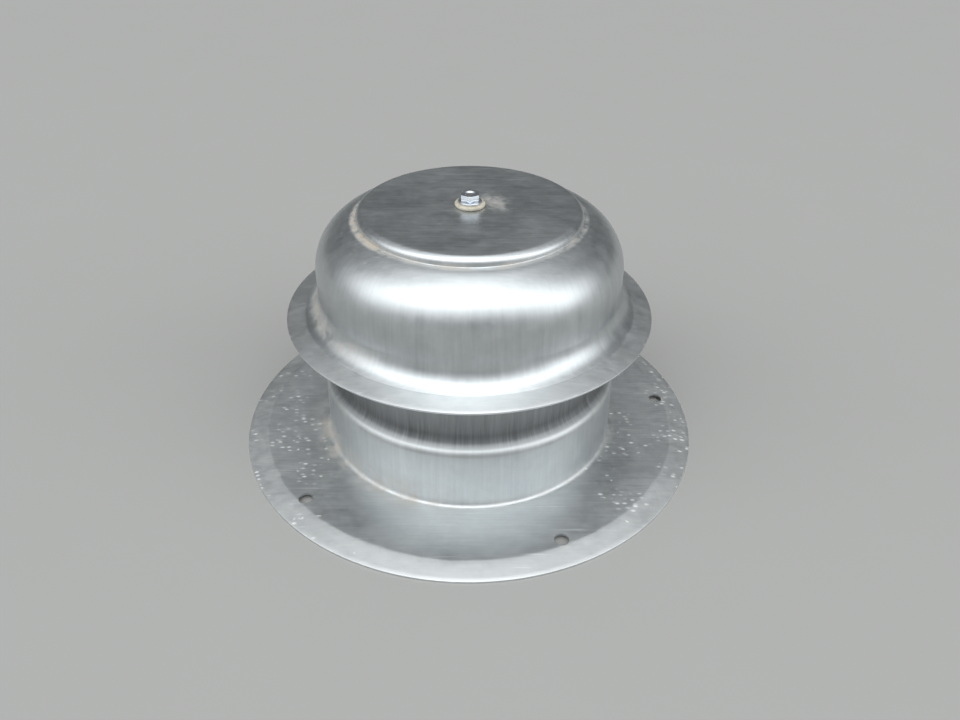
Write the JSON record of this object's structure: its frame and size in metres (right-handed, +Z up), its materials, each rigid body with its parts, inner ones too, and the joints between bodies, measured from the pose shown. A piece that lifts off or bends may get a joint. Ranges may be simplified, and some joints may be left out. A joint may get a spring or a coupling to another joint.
{
  "type": "roof vent cover",
  "caption": "Round metal roof vent cover: a flanged base with a stepped neck under a domed, flared cap held down by a central hex screw.",
  "frame": {"origin": "centre of the flange's lower edge, in the plane of the roof", "axes": "+Z up along the neck, the cap and the screw; the strap runs along X"},
  "size_m": [0.1778, 0.1778, 0.0971],
  "materials": {
    "drawn_aluminium": "mill finish, dulled and finely scratched",
    "galvanised_steel": "galvanised, dull",
    "rivet_aluminium": "plain, satin",
    "zinc_plated_steel": "bright zinc plate",
    "aged_nylon": "weathered, off-white"
  },
  "bodies": {
    "base": {"vent_base": "drawn_aluminium", "bridge_strap": "galvanised_steel", "rivet_left": "rivet_aluminium", "rivet_right": "rivet_aluminium", "strap_nut": "zinc_plated_steel"},
    "cap": {"vent_cap": "drawn_aluminium"},
    "washer": {"sealing_washer": "aged_nylon"},
    "screw": {"cap_screw": "zinc_plated_steel"}
  },
  "joints": [
    {"name": "cap_lift", "type": "slide", "parent": "base", "child": "cap", "axis": [0, 0, 1], "range_m": [0, 0.045]},
    {"name": "screw_rise", "type": "slide", "parent": "cap", "child": "washer", "axis": [0, 0, 1], "range_m": [0, 0.00931]},
    {"name": "screw_turn", "type": "hinge", "parent": "washer", "child": "screw", "pos_m": [0, 0, 0.094], "axis": [0, 0, 1], "range_deg": [0, 4217.95]}
  ],
  "couplings": [
    {"joint": "screw_rise", "follows": "screw_turn", "m_per_rad": 0.00012633}
  ]
}
